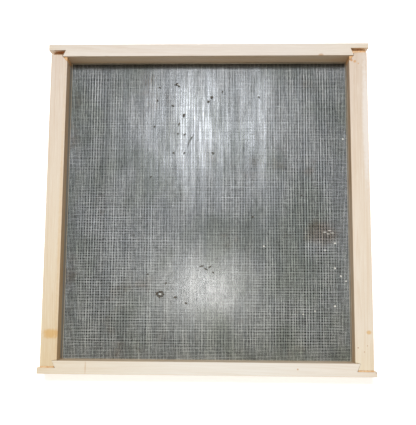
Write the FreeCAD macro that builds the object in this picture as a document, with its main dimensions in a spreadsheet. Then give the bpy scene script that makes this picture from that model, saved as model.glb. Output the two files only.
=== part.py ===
import FreeCAD, Part
import os
import re
import Sketcher

# A screened hive cover. Four softwood rails are joined at their corners by half-dovetail tongues under
# thin lips, and woven wire gauze is sandwiched between the rails and four slats below them.
# The cover lies flat: X is its width, Y its length, and +Z is up, out of the recess over the gauze.
# The origin is the middle of the underside.

# Driving dimensions, in millimetres. Counts have no unit.
DIMENSIONS = {
    "body_width": 460.0,  # over the outer faces of the side rails
    "body_length": 474.0,  # over the outer faces of the cross rails
    "left_width": 23.6,
    "right_width": 25.6,
    "cross_width": 18.2,  # the top and bottom rails
    "rail_depth": 29.5,
    "arris": 0.6,  # the eased long edges of the rails
    "lip_overhang": 4.0,  # past the outer faces of the side rails
    "top_right_trim": 1.4,  # one lip is cut shorter than the others
    "lip_left": 8.5,  # how thick the lips are
    "lip_right": 7.2,
    "gap_top": 7.0,  # from a lip to the end of the tongue under it: the top joints stand open
    "gap_bottom": 2.2,
    "tooth_reach": 7.1,  # how far a cross rail's tooth reaches over the side rail
    "notch_root": 2.4,  # how far its undercut still reaches at the lip
    "neck_inset": 7.2,  # how much narrower than its rail a tongue is at its neck
    "tip_inset_top": 7.2,  # the same at its end
    "tip_inset_bottom": 3.6,
    "shoulder_top": 7.8,  # how far a side rail's shoulder falls away, from neck to inner face
    "shoulder_bottom": 1.6,
    "slat_thickness": 8.0,
    "wire_diameter": 0.5,
    "wire_pitch": 2.0,
    "gauze_margin": 3.0,  # from the gauze's cut edge to the outer faces of the rails
    "nail_radius": 0.9,
    "nail_length": 42.0,
    "nail_head_radius": 1.8,
    "nail_head_thickness": 0.9,
    "nail_level_low": 0.15,  # nail heights, as shares of the rail depth
    "nail_level_high": 0.36,
    "brad_radius": 0.6,
    "brad_length": 22.0,
    "brad_head_radius": 1.3,
    "brad_head_thickness": 0.6,
    "brads_per_slat": 5,
    "brad_spacing_side": 100.0,
    "brad_spacing_cross": 80.0,
}

doc = FreeCAD.newDocument("screened_hive_cover")
sheet = doc.addObject("Spreadsheet::Sheet", "Dimensions")
for row, (alias, value) in enumerate(DIMENSIONS.items(), start=1):
    sheet.set(f"A{row}", alias)
    sheet.set(f"B{row}", str(value))
    sheet.setAlias(f"B{row}", alias)
doc.recompute()


def size(alias):
    """A driving dimension, read back from the sheet."""
    return float(sheet.get(alias))


def bound(expression):
    """The expression with every alias in it pointed at the sheet."""
    return re.sub(r"[a-z_]+", lambda word: f"Dimensions.{word.group()}", expression)


def bind(target, **properties):
    """Binds properties of an object, or parts of its placement, to expressions over the sheet."""
    for name, expression in properties.items():
        target.setExpression(name.replace("__", "."), bound(expression))


# Plan coordinates start at the left ends of the lips and at the bottom rail's outer face.
TOTAL_WIDTH = "(body_width + 2 * lip_overhang)"
LEFT_OUTER = "lip_overhang"
LEFT_INNER = "(lip_overhang + left_width)"
RIGHT_OUTER = "(lip_overhang + body_width)"
RIGHT_INNER = "(lip_overhang + body_width - right_width)"
GAUZE_THICKNESS = "(2 * wire_diameter)"
RAIL_BASE = f"(slat_thickness + {GAUZE_THICKNESS})"


def place_in_plan(target, x="0", y="0", z="0"):
    """Puts an object made in plan coordinates at its place about the middle of the cover."""
    bind(
        target,
        Placement__Base__x=f"{x} - {TOTAL_WIDTH} / 2",
        Placement__Base__y=f"{y} - body_length / 2",
        Placement__Base__z=z,
    )


def outline_sketch(body, name, points):
    """A closed outline of straight lines on the body's XY plane, each corner held by two expressions."""
    sketch = body.newObject("Sketcher::SketchObject", name)
    plane = next(f for f in body.Origin.OriginFeatures if f.Role == "XY_Plane")
    sketch.AttachmentSupport = (plane, [""])
    sketch.MapMode = "FlatFace"
    scratch = doc.addObject("App::FeaturePython", "scratch")
    corners = []
    for x, y in points:
        values = []
        for expression in (x, y):
            values.append(float(scratch.evalExpression(bound(expression))))
        corners.append(FreeCAD.Vector(*values, 0))
    doc.removeObject(scratch.Name)
    for start, end in zip(corners, corners[1:] + corners[:1]):
        sketch.addGeometry(Part.LineSegment(start, end))
    horizontal_axis, vertical_axis = -1, -2
    for line in range(len(corners)):
        sketch.addConstraint(
            Sketcher.Constraint("Coincident", line, 2, (line + 1) % len(corners), 1)
        )
    for line, (corner, point) in enumerate(zip(corners, points)):
        for kind, value, expression, axis in (
            ("DistanceX", corner.x, point[0], vertical_axis),
            ("DistanceY", corner.y, point[1], horizontal_axis),
        ):
            if expression == "0":
                sketch.addConstraint(Sketcher.Constraint("PointOnObject", line, 1, axis))
                continue
            held = sketch.addConstraint(Sketcher.Constraint(kind, line, 1, value))
            sketch.setExpression(f"Constraints[{held}]", bound(expression))
    return sketch


def rail_blank(name, points):
    """A rail before its nail holes: its plan outline padded to the rail depth, long edges eased."""
    body = doc.addObject("PartDesign::Body", f"{name}_blank")
    pad = body.newObject("PartDesign::Pad", f"{name}_pad")
    pad.Profile = outline_sketch(body, f"{name}_outline", points)
    bind(pad, Length="rail_depth")
    doc.recompute()
    long_edge = size("body_width") / 2
    eased = body.newObject("PartDesign::Chamfer", f"{name}_arrises")
    edges = enumerate(pad.Shape.Edges, start=1)
    eased.Base = (pad, [f"Edge{i}" for i, edge in edges if edge.Length > long_edge])
    bind(eased, Size="arris")
    place_in_plan(body, z=RAIL_BASE)
    return body


def cross_rail_outline(outer, inward, right_trim="0"):
    """A top or bottom rail: lips at both ends, and undercut teeth over the side rails.

    outer is the y of its outer face, and inward the sign of the way to the opening.
    """
    right_end = f"({TOTAL_WIDTH} - {right_trim})"
    lip_right = f"{outer} {inward} lip_right"
    lip_left = f"{outer} {inward} lip_left"
    inner = f"{outer} {inward} cross_width"
    return [
        ("0", outer),
        (right_end, outer),
        (right_end, lip_right),
        (f"{RIGHT_INNER} + notch_root", lip_right),
        (f"{RIGHT_INNER} + tooth_reach", inner),
        (f"{LEFT_INNER} - tooth_reach", inner),
        (f"{LEFT_INNER} - notch_root", lip_left),
        ("0", lip_left),
    ]


def side_rail_outline(outer, inner, outward, lip):
    """A side rail: a half-dovetail tongue at each end, behind a sloping shoulder."""
    return [
        (outer, f"{lip} + gap_bottom"),
        (f"{inner} {outward} tip_inset_bottom", f"{lip} + gap_bottom"),
        (f"{inner} {outward} neck_inset", "cross_width"),
        (inner, "cross_width + shoulder_bottom"),
        (inner, "body_length - cross_width - shoulder_top"),
        (f"{inner} {outward} neck_inset", "body_length - cross_width"),
        (f"{inner} {outward} tip_inset_top", f"body_length - {lip} - gap_top"),
        (outer, f"body_length - {lip} - gap_top"),
    ]


def slat_blank(name, x, y, width, length):
    """A slat before its brad holes."""
    slat = doc.addObject("Part::Box", f"{name}_blank")
    bind(slat, Length=width, Width=length, Height="slat_thickness")
    place_in_plan(slat, x=x, y=y)
    return slat


def headed_pin(point, direction, kind):
    """A nail or a brad with its head's outer face at point, driven along direction."""
    shank = Part.makeCylinder(size(f"{kind}_radius"), size(f"{kind}_length"), point, direction)
    head = Part.makeCylinder(
        size(f"{kind}_head_radius"), size(f"{kind}_head_thickness"), point, direction
    )
    return shank.fuse(head).removeSplitter()


def group(name, solids):
    """Separate like solids in one object."""
    item = doc.addObject("Part::Feature", name)
    item.Shape = Part.makeCompound(solids)
    return item


half_width = size("body_width") / 2
half_length = size("body_length") / 2
rail_base = size("slat_thickness") + 2 * size("wire_diameter")


# Each corner is nailed through the lip, into the end of the tongue, low enough to stay out of sight in
# the joints that stand open.
def corner_nails(name, side, end):
    rail_width = size("left_width") if side < 0 else size("right_width")
    x = side * (half_width - (rail_width - size("neck_inset")) / 2)
    nails = []
    for level in (size("nail_level_low"), size("nail_level_high")):
        start = FreeCAD.Vector(x, end * half_length, rail_base + level * size("rail_depth"))
        nails.append(headed_pin(start, FreeCAD.Vector(0, -end, 0), "nail"))
    return group(name, nails)


# Brads hold the slats from below. They pass through openings of the gauze, whose wires lie half a pitch
# to each side of the middle, so every brad stands a whole number of pitches from it.
def on_opening(distance):
    return round(distance / size("wire_pitch")) * size("wire_pitch")


def slat_brads(name, across, along_y):
    count = int(size("brads_per_slat"))
    spacing = size("brad_spacing_side" if along_y else "brad_spacing_cross")
    brads = []
    for number in range(count):
        along = on_opening((number - (count - 1) / 2) * spacing)
        x, y = (on_opening(across), along) if along_y else (along, on_opening(across))
        start = FreeCAD.Vector(x, y, 0)
        brads.append(headed_pin(start, FreeCAD.Vector(0, 0, 1), "brad"))
    return group(name, brads)


nails = {
    "nails_top_left": corner_nails("nails_top_left", -1, 1),
    "nails_top_right": corner_nails("nails_top_right", 1, 1),
    "nails_bottom_left": corner_nails("nails_bottom_left", -1, -1),
    "nails_bottom_right": corner_nails("nails_bottom_right", 1, -1),
}
cross_middle = half_length - size("cross_width") / 2
brads = {
    "brads_left": slat_brads("brads_left", -half_width + size("left_width") / 2, True),
    "brads_right": slat_brads("brads_right", half_width - size("right_width") / 2, True),
    "brads_top": slat_brads("brads_top", cross_middle, False),
    "brads_bottom": slat_brads("brads_bottom", -cross_middle, False),
}


def drilled(name, blank, pins):
    """The finished wooden piece: its blank with the holes that its nails and brads fill."""
    tools = doc.addObject("Part::Compound", f"{name}_holes")
    tools.Links = pins
    piece = doc.addObject("Part::Cut", name)
    piece.Base = blank
    piece.Tool = tools
    return piece


rails = {
    "top_rail": drilled(
        "top_rail",
        rail_blank("top_rail", cross_rail_outline("body_length", "-", "top_right_trim")),
        [nails["nails_top_left"], nails["nails_top_right"], brads["brads_top"]],
    ),
    "bottom_rail": drilled(
        "bottom_rail",
        rail_blank("bottom_rail", cross_rail_outline("0", "+")),
        [nails["nails_bottom_left"], nails["nails_bottom_right"], brads["brads_bottom"]],
    ),
    "left_rail": drilled(
        "left_rail",
        rail_blank("left_rail", side_rail_outline(LEFT_OUTER, LEFT_INNER, "-", "lip_left")),
        [nails["nails_top_left"], nails["nails_bottom_left"], brads["brads_left"]],
    ),
    "right_rail": drilled(
        "right_rail",
        rail_blank("right_rail", side_rail_outline(RIGHT_OUTER, RIGHT_INNER, "+", "lip_right")),
        [nails["nails_top_right"], nails["nails_bottom_right"], brads["brads_right"]],
    ),
}

# The side slats run the whole length, and the cross slats fit between them.
between = f"{RIGHT_INNER} - {LEFT_INNER}"
slat_blanks = {
    "left": slat_blank("slat_left", LEFT_OUTER, "0", "left_width", "body_length"),
    "right": slat_blank("slat_right", RIGHT_INNER, "0", "right_width", "body_length"),
    "top": slat_blank("slat_top", LEFT_INNER, "body_length - cross_width", between, "cross_width"),
    "bottom": slat_blank("slat_bottom", LEFT_INNER, "0", between, "cross_width"),
}
slats = {
    f"slat_{side}": drilled(f"slat_{side}", blank, [brads[f"brads_{side}"]])
    for side, blank in slat_blanks.items()
}


# The gauze's wires, straight here: the weft lies on the warp, as deep as the woven cloth is thick.
def gauze_wires(name, half_across, half_along, layer, direction):
    pitch = size("wire_pitch")
    radius = size("wire_diameter") / 2
    pairs = int((half_across - radius) / pitch + 0.5)
    height = size("slat_thickness") + radius + layer * size("wire_diameter")
    across = FreeCAD.Vector(0, 0, 1).cross(direction)
    wires = []
    for number in range(-pairs, pairs):
        start = across * (pitch * (number + 0.5)) - direction * half_along
        start.z = height
        wires.append(Part.makeCylinder(radius, 2 * half_along, start, direction))
    return group(name, wires)


gauze_half_width = half_width - size("gauze_margin")
gauze_half_length = half_length - size("gauze_margin")
gauze = {
    "gauze_warp": gauze_wires(
        "gauze_warp", gauze_half_width, gauze_half_length, 0, FreeCAD.Vector(0, 1, 0)
    ),
    "gauze_weft": gauze_wires(
        "gauze_weft", gauze_half_length, gauze_half_width, 1, FreeCAD.Vector(1, 0, 0)
    ),
}

doc.recompute()
nodes = {**rails, **slats, **gauze, **nails, **brads}
for item in doc.Objects:
    if "Invalid" in item.State or "Error" in item.State:
        raise RuntimeError(f"{item.Name} failed: {item.State}")
for name, item in nodes.items():
    item.Label = name
    if item.Shape.isNull() or not item.Shape.isValid():
        raise RuntimeError(f"{name} has no valid shape")

os.makedirs("parts", exist_ok=True)
for name, item in nodes.items():
    item.Shape.exportStep(f"parts/{name}.step")
    box = item.Shape.BoundBox
    print(
        f"{name}: {len(item.Shape.Solids)} solids, {item.Shape.Volume / 1000:.2f} cm3,"
        f" x {box.XMin:.1f} to {box.XMax:.1f}, y {box.YMin:.1f} to {box.YMax:.1f},"
        f" z {box.ZMin:.2f} to {box.ZMax:.2f}"
    )
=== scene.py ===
import math

import bmesh
import bpy
import numpy as np
from mathutils import Matrix, Vector, noise


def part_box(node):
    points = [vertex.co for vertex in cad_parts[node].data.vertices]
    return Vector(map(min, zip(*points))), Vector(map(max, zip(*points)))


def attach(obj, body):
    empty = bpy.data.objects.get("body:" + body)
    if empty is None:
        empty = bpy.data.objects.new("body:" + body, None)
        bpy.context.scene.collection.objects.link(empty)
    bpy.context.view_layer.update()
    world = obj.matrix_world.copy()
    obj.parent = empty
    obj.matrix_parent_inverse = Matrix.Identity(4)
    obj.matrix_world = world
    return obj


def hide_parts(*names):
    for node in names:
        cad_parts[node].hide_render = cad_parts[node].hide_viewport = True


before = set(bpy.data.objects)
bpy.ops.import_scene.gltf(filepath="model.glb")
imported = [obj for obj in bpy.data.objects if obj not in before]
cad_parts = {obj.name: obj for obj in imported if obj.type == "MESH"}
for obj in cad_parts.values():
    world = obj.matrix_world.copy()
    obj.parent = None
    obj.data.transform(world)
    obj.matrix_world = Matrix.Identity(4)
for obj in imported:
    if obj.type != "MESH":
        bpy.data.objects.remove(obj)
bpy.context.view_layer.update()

# A screened hive cover: four softwood rails with half-dovetailed corners, fine woven gauze low in their
# opening, and four slats that clamp the gauze's margin from below.
# Lengths below are in millimetres and are turned into metres as vertices are made.
MM = 0.001


def node_box(node):
    """A CAD node's lowest and highest corners, in millimetres."""
    low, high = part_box(node)
    return low / MM, high / MM


TOP_LOW, TOP_HIGH = node_box("top_rail")
BOTTOM_LOW, BOTTOM_HIGH = node_box("bottom_rail")
LEFT_LOW, LEFT_HIGH = node_box("left_rail")
RIGHT_LOW, RIGHT_HIGH = node_box("right_rail")
RAIL_BASE, RAIL_TOP = TOP_LOW.z, TOP_HIGH.z
SLAT_TOP = node_box("slat_left")[1].z
OUTER_TOP, INNER_TOP = TOP_HIGH.y, TOP_LOW.y
OUTER_BOTTOM, INNER_BOTTOM = BOTTOM_LOW.y, BOTTOM_HIGH.y
OUTER_LEFT, INNER_LEFT = LEFT_LOW.x, LEFT_HIGH.x
OUTER_RIGHT, INNER_RIGHT = RIGHT_HIGH.x, RIGHT_LOW.x

# The corner joints, in the part's own sizes.
LIP_LEFT, LIP_RIGHT = 8.5, 7.2
TOOTH_REACH, NOTCH_ROOT = 7.1, 2.4
NECK_INSET, TIP_INSET_TOP, TIP_INSET_BOTTOM = 7.2, 7.2, 3.6
SHOULDER_TOP, SHOULDER_BOTTOM = 7.8, 1.6
NAIL_LEVELS = (0.15, 0.36)

# Timber is cut up before it is shaped: along its grain, finer over each end's length, across and down.
CUT_ALONG, END_LENGTH, CUT_NEAR_ENDS, CUT_ACROSS, CUT_DOWN = 3.5, 30.0, 1.5, 2.0, 2.5
# Planed faces wander over the first length, and arrises are nicked by up to the depth at the second.
WANDER_SIZE, NICK_SIZE, NICK_DEPTH = 9.0, 2.2, 0.35
# How round the long arrises and the joint edges are, and how far the faces wander.
RAIL_EASE, RAIL_JOINT_EASE, RAIL_WANDER = 0.5, 0.05, 0.2
SLAT_EASE, SLAT_JOINT_EASE, SLAT_WANDER = 0.35, 0.2, 0.2
# Glue in the top joints reaches this far above the rails' base.
GLUE_TOP_LEFT, GLUE_TOP_RIGHT = 17.0, 22.0
BRADS_PER_SLAT = 5


# ---------------------------------------------------------------- mesh helpers


def add_object(name, mesh, slot, *replaced):
    piece = bpy.data.objects.new(name, mesh)
    bpy.context.scene.collection.objects.link(piece)
    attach(piece, "root")
    if replaced:
        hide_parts(*replaced)
    return piece


def smoothstep(value, start, end):
    t = min(max((value - start) / (end - start), 0.0), 1.0)
    return t * t * (3 - 2 * t)


def eased_prism(outline, low, high, along, ease, joint_ease):
    """A bmesh of the outline raised from low to high, its long arrises rounder than its joint edges."""
    bm = bmesh.new()
    base = bm.faces.new([bm.verts.new((x, y, low)) for x, y in outline])
    raised = bmesh.ops.extrude_face_region(bm, geom=[base])["geom"]
    bmesh.ops.translate(
        bm, vec=(0, 0, high - low), verts=[v for v in raised if isinstance(v, bmesh.types.BMVert)]
    )
    bmesh.ops.recalc_face_normals(bm, faces=bm.faces[:])
    reach = max(p[along] for p in outline) - min(p[along] for p in outline)
    weight = bm.edges.layers.float.new("bevel_weight_edge")
    for edge in bm.edges:
        run = abs(edge.verts[0].co[along] - edge.verts[1].co[along])
        edge[weight] = 1.0 if run > reach / 2 else joint_ease / ease
    mesh = bpy.data.meshes.new("prism")
    bm.to_mesh(mesh)
    bm.free()
    holder = bpy.data.objects.new("prism", mesh)
    bpy.context.scene.collection.objects.link(holder)
    bevel = holder.modifiers.new("ease", "BEVEL")
    bevel.limit_method, bevel.width, bevel.segments = "WEIGHT", ease, 3
    bevel.use_clamp_overlap, bevel.profile = False, 0.5
    bm = bmesh.new()
    bm.from_object(holder, bpy.context.evaluated_depsgraph_get())
    bpy.data.objects.remove(holder)
    bpy.data.meshes.remove(mesh)
    return bm


def smooth_mesh(name, bm):
    mesh = bpy.data.meshes.new(name)
    bm.to_mesh(mesh)
    bm.free()
    mesh.shade_smooth()
    return mesh


def slice_up(bm, axis, positions):
    """Cuts the mesh by planes across an axis, so that its faces are small enough to be shaped."""
    normal = Vector((0, 0, 0))
    normal[axis] = 1
    for position in positions:
        bmesh.ops.bisect_plane(
            bm,
            geom=bm.verts[:] + bm.edges[:] + bm.faces[:],
            plane_co=normal * position,
            plane_no=normal,
            dist=0.01,
        )


def stations(start, end, step, fine_length, fine_step):
    """Cut positions from start to end: fine ones near both ends and wider ones between."""
    near = np.arange(fine_step, fine_length, fine_step)
    middle = np.linspace(
        start + fine_length, end - fine_length, max(2, int((end - start - 2 * fine_length) / step))
    )
    return [*(start + near), *middle, *(end - near[::-1])]


def worn_depth(v, worn, along, wander, offset, dents):
    """How far a vertex lies in from the sawn size: uneven faces, nicked arrises and dented corners."""
    grain = v.co / WANDER_SIZE
    grain[along] *= 0.12
    open_face = max(abs(v.normal.z), abs(v.normal[1 - along])) > 0.9
    depth = wander * (0.5 + 0.5 * noise.noise(grain + offset)) if open_face else 0.0
    nick = noise.noise(v.co / NICK_SIZE + offset * 3)
    depth += v[worn] * NICK_DEPTH * max(nick - 0.15, 0.0)
    for centre, radius, strength in dents:
        distance = (v.co - Vector(centre)).length
        depth += strength * (1 - smoothstep(distance, 0.0, radius))
    return depth


def timber(name, slot, node, outline, low, high, along, ease, joint_ease, wander, seed, dents=()):
    """A piece of timber: a prism with eased arrises, slightly uneven faces and dented corners.

    along is the axis of its grain. Every vertex only moves inwards, so the piece keeps its size.
    """
    bm = eased_prism(outline, low, high, along, ease, joint_ease)
    bm.normal_update()
    worn = bm.verts.layers.float.new("arris")
    for v in bm.verts:
        squarely_faced = max(abs(c) for c in v.normal) >= 0.985
        v[worn] = 0.0 if squarely_faced else 1.0
    across = 1 - along
    xs = [p[along] for p in outline]
    ys = [p[across] for p in outline]
    slice_up(bm, along, stations(min(xs), max(xs), CUT_ALONG, END_LENGTH, CUT_NEAR_ENDS))
    slice_up(bm, across, np.arange(min(ys) + CUT_ACROSS, max(ys) - 1.0, CUT_ACROSS))
    slice_up(bm, 2, np.arange(low + CUT_DOWN, high - 1.0, CUT_DOWN))
    bmesh.ops.triangulate(bm, faces=[f for f in bm.faces if len(f.verts) > 4])
    bm.normal_update()
    offset = Vector((seed * 17.3, seed * 5.1, 0))
    moved = [(v, v.co - v.normal * worn_depth(v, worn, along, wander, offset, dents)) for v in bm.verts]
    limits = {along: (min(xs), max(xs)), across: (min(ys), max(ys)), 2: (low, high)}
    for v, place in moved:
        # Where a wide and a narrow bevel meet, the corner would bulge past the outline.
        for axis, (least, most) in limits.items():
            place[axis] = min(max(place[axis], least), most)
        v.co = place * MM
    piece = add_object(name, smooth_mesh(name, bm), slot, node)
    shading = piece.modifiers.new("even_shading", "WEIGHTED_NORMAL")
    shading.keep_sharp = True
    shading.weight = 90
    return piece


def lathe(rings, axis_start, axis, sides=20):
    """Vertices and faces of a closed turned shape; rings are (distance along the axis, radius)."""
    axis = Vector(axis).normalized()
    side = axis.orthogonal().normalized()
    up = axis.cross(side)
    start = Vector(axis_start)
    vertices, faces = [], []
    for t, r in rings:
        for k in range(sides):
            angle = 2 * math.pi * k / sides
            vertices.append(start + axis * t + (side * math.cos(angle) + up * math.sin(angle)) * r)
    for ring in range(len(rings) - 1):
        for k in range(sides):
            a, b = ring * sides + k, ring * sides + (k + 1) % sides
            faces.append((a, b, b + sides, a + sides))
    faces.append(tuple(reversed(range(sides))))
    faces.append(tuple(range((len(rings) - 1) * sides, len(rings) * sides)))
    return vertices, faces


def joined_mesh(name, parts):
    vertices, faces = [], []
    for part_vertices, part_faces in parts:
        start = len(vertices)
        vertices += [Vector(v) * MM for v in part_vertices]
        faces += [tuple(start + i for i in face) for face in part_faces]
    mesh = bpy.data.meshes.new(name)
    mesh.from_pydata(vertices, [], faces)
    bm = bmesh.new()
    bm.from_mesh(mesh)
    bmesh.ops.recalc_face_normals(bm, faces=bm.faces[:])
    bm.to_mesh(mesh)
    bm.free()
    mesh.shade_smooth()
    mesh.set_sharp_from_angle(angle=math.radians(40))
    return mesh


# ---------------------------------------------------------------- materials


def srgb(red, green, blue):
    """A display colour of 0 to 255 as the linear colour that Blender works in."""

    def linear(value):
        value /= 255
        return value / 12.92 if value <= 0.04045 else ((value + 0.055) / 1.055) ** 2.4

    return (linear(red), linear(green), linear(blue), 1.0)


class Shader:
    """A material being put together from nodes, in the object's own coordinates in millimetres."""

    def __init__(self, name, metallic=0.0, specular=0.5):
        self.material = bpy.data.materials.new(name)
        self.material.use_nodes = True
        self.tree = self.material.node_tree
        self.surface = self.tree.nodes["Principled BSDF"]
        self.surface.inputs["Metallic"].default_value = metallic
        self.surface.inputs["Specular IOR Level"].default_value = specular
        place = self.add("ShaderNodeTexCoord").outputs["Object"]
        self.place = self.vector("SCALE", place, scale=1 / MM)

    def add(self, kind, **settings):
        node = self.tree.nodes.new(kind)
        for key, value in settings.items():
            setattr(node, key, value)
        return node

    def feed(self, socket, value):
        if isinstance(value, bpy.types.NodeSocket):
            self.tree.links.new(value, socket)
        else:
            socket.default_value = value

    def math(self, operation, *values, clamp=False):
        node = self.add("ShaderNodeMath", operation=operation, use_clamp=clamp)
        for socket, value in zip(node.inputs, values):
            self.feed(socket, value)
        return node.outputs[0]

    def vector(self, operation, *values, scale=None):
        node = self.add("ShaderNodeVectorMath", operation=operation)
        for socket, value in zip(node.inputs, values):
            self.feed(socket, value)
        if scale is not None:
            self.feed(node.inputs["Scale"], scale)
        return node.outputs["Value" if operation in ("LENGTH", "DOT_PRODUCT") else "Vector"]

    def noise(self, place, scale, detail=2.0, roughness=0.5, distortion=0.0):
        node = self.add("ShaderNodeTexNoise")
        for key, value in (
            ("Vector", place), ("Scale", scale), ("Detail", detail),
            ("Roughness", roughness), ("Distortion", distortion),
        ):
            self.feed(node.inputs[key], value)
        return node.outputs["Fac"]

    def spread(self, value, low, high, to_low=0.0, to_high=1.0, smooth=True):
        node = self.add("ShaderNodeMapRange")
        node.interpolation_type = "SMOOTHSTEP" if smooth else "LINEAR"
        for key, number in (
            ("Value", value), ("From Min", low), ("From Max", high),
            ("To Min", to_low), ("To Max", to_high),
        ):
            self.feed(node.inputs[key], number)
        return node.outputs["Result"]

    def mix(self, factor, first, second, blend="MIX"):
        node = self.add("ShaderNodeMix", data_type="RGBA", blend_type=blend)
        self.feed(node.inputs["Factor"], factor)
        self.feed(node.inputs[6], first)
        self.feed(node.inputs[7], second)
        return node.outputs[2]

    def ramp(self, value, stops):
        node = self.add("ShaderNodeValToRGB")
        self.feed(node.inputs["Fac"], value)
        elements = node.color_ramp.elements
        while len(elements) < len(stops):
            elements.new(0.5)
        for element, (position, colour) in zip(elements, stops):
            element.position = position
            element.color = colour
        return node.outputs["Color"]

    def axis(self, number):
        if not hasattr(self, "axes"):
            node = self.add("ShaderNodeSeparateXYZ")
            self.feed(node.inputs[0], self.place)
            self.axes = node.outputs
        return self.axes[number]

    def patch(self, centre, radii, ragged=0.35, scale=0.25):
        """A soft-edged blot: 1 at the centre, 0 beyond the radii."""
        away = self.vector("SUBTRACT", self.place, centre)
        away = self.vector("MULTIPLY", away, tuple(1 / r for r in radii))
        distance = self.vector("LENGTH", away)
        rough = self.noise(self.place, scale, 3.0)
        ragged_by = self.math("MULTIPLY", self.math("SUBTRACT", rough, 0.5), ragged * 2)
        distance = self.math("ADD", distance, ragged_by)
        return self.spread(distance, 0.35, 1.0, 1.0, 0.0)

    def finish(self, colour, roughness, height, bump_mm, strength=1.0):
        self.feed(self.surface.inputs["Base Color"], colour)
        self.feed(self.surface.inputs["Roughness"], roughness)
        bump = self.add("ShaderNodeBump")
        bump.inputs["Strength"].default_value = strength
        bump.inputs["Distance"].default_value = bump_mm * MM
        self.feed(bump.inputs["Height"], height)
        self.feed(self.surface.inputs["Normal"], bump.outputs["Normal"])
        return self.material


def growth_rings(s, grain, along, pith, ring_width, offset):
    """Rings about a pith line that runs roughly along the grain: 1 in each year's dark late wood."""
    flat = [1.0, 1.0, 1.0]
    flat[along] = 0.0
    from_pith = s.vector("MULTIPLY", s.vector("SUBTRACT", s.place, pith), tuple(flat))
    distance = s.vector("LENGTH", from_pith)
    drift = s.math("MULTIPLY", s.noise(grain, 0.09, 2.0), 16.0)
    lean = s.math("MULTIPLY", s.axis(along), 0.012)
    turns = s.math("DIVIDE", s.math("ADD", s.math("ADD", distance, drift), lean), ring_width)
    phase = s.math("FRACT", turns)
    late = s.math("MULTIPLY", s.spread(phase, 0.25, 0.88), s.spread(phase, 0.9, 1.0, 1.0, 0.0))
    year = s.noise(s.vector("MULTIPLY", s.vector("ADD", grain, offset), (0.4, 0.4, 0.4)), 0.35, 1.0)
    return s.math("MULTIPLY", late, s.spread(year, 0.3, 0.7, 0.35, 1.0))


def clear_pine(s, slow, grain, fibre, late, along, tones, heart):
    """The colour of unmarked wood: its tone along the length, its clouds, rings, fibres and ducts."""
    low, high = tones[0][0], tones[-1][0]
    station = s.spread(s.axis(along), low, high, smooth=False)
    base = s.ramp(station, [((p - low) / (high - low), srgb(*c)) for p, c in tones])
    cloud = s.noise(slow, 0.035, 3.0, 0.6)
    base = s.mix(s.spread(cloud, 0.35, 0.7, 0.0, 0.16), base, srgb(*heart), "MULTIPLY")
    colour = s.mix(s.math("MULTIPLY", late, 0.22), base, srgb(*heart), "MULTIPLY")
    colour = s.mix(s.spread(fibre, 0.5, 0.78, 0.0, 0.2), colour, srgb(226, 204, 176), "MULTIPLY")
    pale = s.noise(s.vector("ADD", grain, (41.0, 3.0, 9.0)), 1.1, 3.0, 0.6)
    colour = s.mix(s.spread(pale, 0.52, 0.75, 0.0, 0.35), colour, srgb(250, 243, 230))
    # Resin ducts: short darker dashes along the grain.
    duct = s.noise(s.vector("MULTIPLY", grain, (2.2, 2.2, 2.2)), 1.7, 1.0, 0.4)
    return s.mix(s.spread(duct, 0.72, 0.8, 0.0, 0.28), colour, srgb(196, 158, 116), "MULTIPLY")


def marked(s, colour, bleach, stains, knots):
    """The wood's colour with its bleached strip, its stains and its knots."""
    if bleach:
        centre, radii, tint, strength = bleach
        colour = s.mix(s.math("MULTIPLY", s.patch(centre, radii), strength), colour, srgb(*tint))
    for centre, radii, tint, strength in stains:
        colour = s.mix(s.math("MULTIPLY", s.patch(centre, radii), strength), colour, srgb(*tint), "MULTIPLY")
    for centre, radius, tint in knots:
        mask = s.patch(centre, (radius, radius, radius * 2), 0.2, 0.8)
        colour = s.mix(s.math("MULTIPLY", mask, 0.85), colour, srgb(*tint))
    return colour


def propolis_and_shade_inner_face(s, colour, slow, along, inner, propolis_and_shade_tone, dust, pale_line):
    """The face towards the opening: brown with propolis and with painted shade, the shade deeper nearer the
    gauze, and dusty at its foot.

    dust is how high the grey dust reaches, and pale_line the level of a pale dashed line; 0 leaves either
    out.
    """
    away = s.math("ABSOLUTE", s.math("SUBTRACT", s.axis(1 - along), inner))
    below_arris = s.spread(s.axis(2), RAIL_TOP - 0.3, RAIL_TOP - 1.5)
    face = s.math("MULTIPLY", s.spread(away, 0.35, 0.9, 1.0, 0.0), below_arris)
    blotched = s.spread(s.noise(slow, 0.06, 3.0, 0.6), 0.3, 0.7, 0.6, 1.0)
    # Propolis brown plus painted shade: the darkening grows down the recess towards the gauze.
    shade_with_depth = s.spread(s.axis(2), RAIL_BASE, RAIL_TOP - 4.5, 1.0, 0.72, smooth=False)
    painted_shade = s.math("MULTIPLY", s.math("MULTIPLY", face, blotched), shade_with_depth)
    colour = s.mix(painted_shade, colour, srgb(*propolis_and_shade_tone), "MULTIPLY")
    ragged = s.math("MULTIPLY", s.math("SUBTRACT", s.noise(slow, 0.3, 3.0), 0.5), 5.0)
    level = s.math("ADD", s.axis(2), ragged)
    if dust:
        dusty = s.math("MULTIPLY", face, s.spread(level, dust - 2.5, dust + 2.5, 0.9, 0.0))
        colour = s.mix(dusty, colour, srgb(150, 150, 146))
    if pale_line:
        # A pale dashed line along the face at the given level.
        off = s.math("ABSOLUTE", s.math("SUBTRACT", level, pale_line))
        dashes = s.spread(s.noise(slow, 0.45, 2.0), 0.4, 0.52, 0.25, 1.0)
        pale_line_mask = s.math("MULTIPLY", s.math("MULTIPLY", face, dashes), s.spread(off, 1.4, 3.4, 1.0, 0.0))
        colour = s.mix(s.math("MULTIPLY", pale_line_mask, 0.85), colour, srgb(236, 222, 202))
    return colour


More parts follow.
